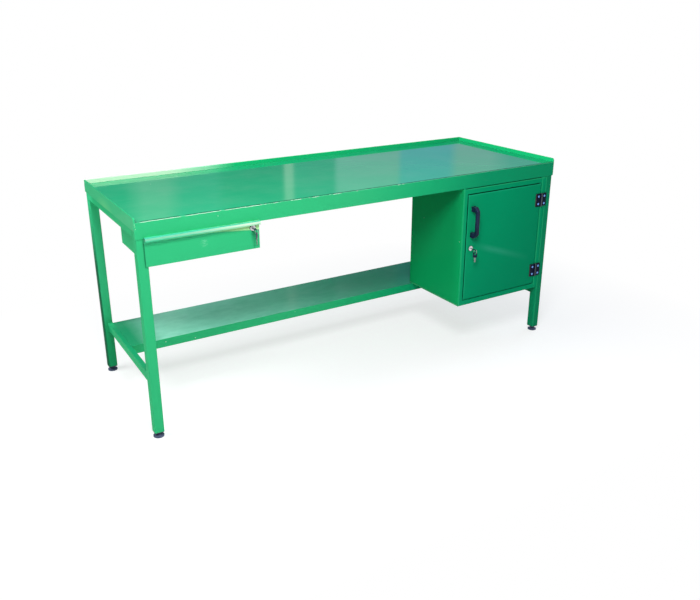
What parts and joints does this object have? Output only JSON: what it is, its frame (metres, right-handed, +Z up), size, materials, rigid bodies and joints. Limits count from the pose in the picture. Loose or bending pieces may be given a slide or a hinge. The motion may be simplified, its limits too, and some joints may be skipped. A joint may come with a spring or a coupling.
{
  "type": "workbench",
  "caption": "Steel workbench with a raised edge round its top, a locking drawer, a locking cupboard, a low rear shelf and levelling feet.",
  "frame": {"origin": "on the floor, at the middle of the area that the bench covers in plan", "axes": "+X along the bench towards the cupboard end, +Y from the front to the back, +Z up"},
  "size_m": [2, 0.7458, 0.878],
  "materials": {
    "green_paint": "glossy powder coat",
    "black_hinge": "semi-gloss",
    "black_plastic": "satin moulded",
    "plug_plastic": "matt moulded",
    "zinc_steel": "zinc plated",
    "lock_chrome": "polished",
    "ring_steel": "bright wire",
    "key_head": "moulded head on a steel blade"
  },
  "bodies": {
    "root": {"worktop": "green_paint", "leg_front_left": "green_paint", "leg_front_right": "green_paint", "leg_rear_left": "green_paint", "leg_rear_right": "green_paint", "top_rail_front": "green_paint", "top_rail_rear": "green_paint", "top_rail_left": "green_paint", "top_rail_right": "green_paint", "cross_bearer_drawer": "green_paint", "cross_bearer_cupboard": "green_paint", "low_rail_left": "green_paint", "low_rail_right": "green_paint", "lower_shelf": "green_paint", "leg_plugs": "plug_plastic", "drawer_housing": "green_paint", "runner_outer_left": "zinc_steel", "runner_outer_right": "zinc_steel", "drawer_lock_strike": "zinc_steel", "cupboard": "green_paint", "cupboard_back": "green_paint", "cupboard_shelf": "green_paint", "shelf_clips": "zinc_steel", "hinge_leaves_frame": "black_hinge", "hinge_pins": "black_hinge"},
    "drawer": {"drawer_box": "green_paint", "drawer_front": "green_paint", "drawer_lock_body": "lock_chrome", "drawer_lock_nut": "zinc_steel", "runner_inner_left": "zinc_steel", "runner_inner_right": "zinc_steel"},
    "runner_middle_left": {"runner_middle_left": "zinc_steel"},
    "runner_middle_right": {"runner_middle_right": "zinc_steel"},
    "drawer_lock": {"drawer_lock_plug": "lock_chrome", "drawer_lock_cam": "zinc_steel", "drawer_key": "key_head"},
    "drawer_key_ring": {"drawer_key_ring": "ring_steel"},
    "drawer_spare_key": {"drawer_spare_key": "key_head"},
    "door": {"door": "green_paint", "door_handle": "black_plastic", "door_lock_body": "lock_chrome", "door_lock_nut": "zinc_steel", "hinge_leaves_door": "black_hinge"},
    "door_lock": {"door_lock_plug": "lock_chrome", "door_lock_cam": "zinc_steel", "door_key": "key_head"},
    "door_key_ring": {"door_key_ring": "ring_steel"},
    "door_spare_key": {"door_spare_key": "key_head"},
    "foot_front_left": {"foot_front_left": "black_plastic"},
    "foot_front_right": {"foot_front_right": "black_plastic"},
    "foot_rear_left": {"foot_rear_left": "black_plastic"},
    "foot_rear_right": {"foot_rear_right": "black_plastic"}
  },
  "joints": [
    {"name": "drawer_slide", "type": "slide", "parent": "root", "child": "drawer", "axis": [0, -1, 0], "range_m": [0, 0.28]},
    {"name": "runner_left_slide", "type": "slide", "parent": "root", "child": "runner_middle_left", "axis": [0, -1, 0], "range_m": [0, 0.14]},
    {"name": "runner_right_slide", "type": "slide", "parent": "root", "child": "runner_middle_right", "axis": [0, -1, 0], "range_m": [0, 0.14]},
    {"name": "door_hinge", "type": "hinge", "parent": "root", "child": "door", "pos_m": [0.9365, -0.33005, 0.335], "axis": [0, 0, 1], "range_deg": [0, 160]},
    {"name": "drawer_lock_turn", "type": "hinge", "parent": "drawer", "child": "drawer_lock", "pos_m": [-0.556, -0.32955, 0.7765], "axis": [0, 1, 0], "range_deg": [0, 90]},
    {"name": "drawer_key_ring_swing", "type": "hinge", "parent": "drawer_lock", "child": "drawer_key_ring", "pos_m": [-0.556, -0.3627, 0.7765], "axis": [1, 0, 0], "range_deg": [-12, 4]},
    {"name": "drawer_spare_key_swing", "type": "hinge", "parent": "drawer_key_ring", "child": "drawer_spare_key", "pos_m": [-0.556, -0.3627, 0.76038], "axis": [-0.2079, 0.9781, 0], "range_deg": [-15, 15]},
    {"name": "door_lock_turn", "type": "hinge", "parent": "door", "child": "door_lock", "pos_m": [0.5215, -0.32455, 0.513], "axis": [0, 1, 0], "range_deg": [0, 90]},
    {"name": "door_key_ring_swing", "type": "hinge", "parent": "door_lock", "child": "door_key_ring", "pos_m": [0.5215, -0.3577, 0.513], "axis": [1, 0, 0], "range_deg": [-12, 4]},
    {"name": "door_spare_key_swing", "type": "hinge", "parent": "door_key_ring", "child": "door_spare_key", "pos_m": [0.5215, -0.3577, 0.49743], "axis": [0, 1, 0], "range_deg": [-15, 15]},
    {"name": "foot_front_left_screw", "type": "slide", "parent": "root", "child": "foot_front_left", "axis": [0, 0, -1], "range_m": [0, 0.02]},
    {"name": "foot_front_right_screw", "type": "slide", "parent": "root", "child": "foot_front_right", "axis": [0, 0, -1], "range_m": [0, 0.02]},
    {"name": "foot_rear_left_screw", "type": "slide", "parent": "root", "child": "foot_rear_left", "axis": [0, 0, -1], "range_m": [0, 0.02]},
    {"name": "foot_rear_right_screw", "type": "slide", "parent": "root", "child": "foot_rear_right", "axis": [0, 0, -1], "range_m": [0, 0.02]}
  ],
  "couplings": [
    {"joint": "runner_left_slide", "follows": "drawer_slide", "ratio": 0.5},
    {"joint": "runner_right_slide", "follows": "drawer_slide", "ratio": 0.5}
  ]
}
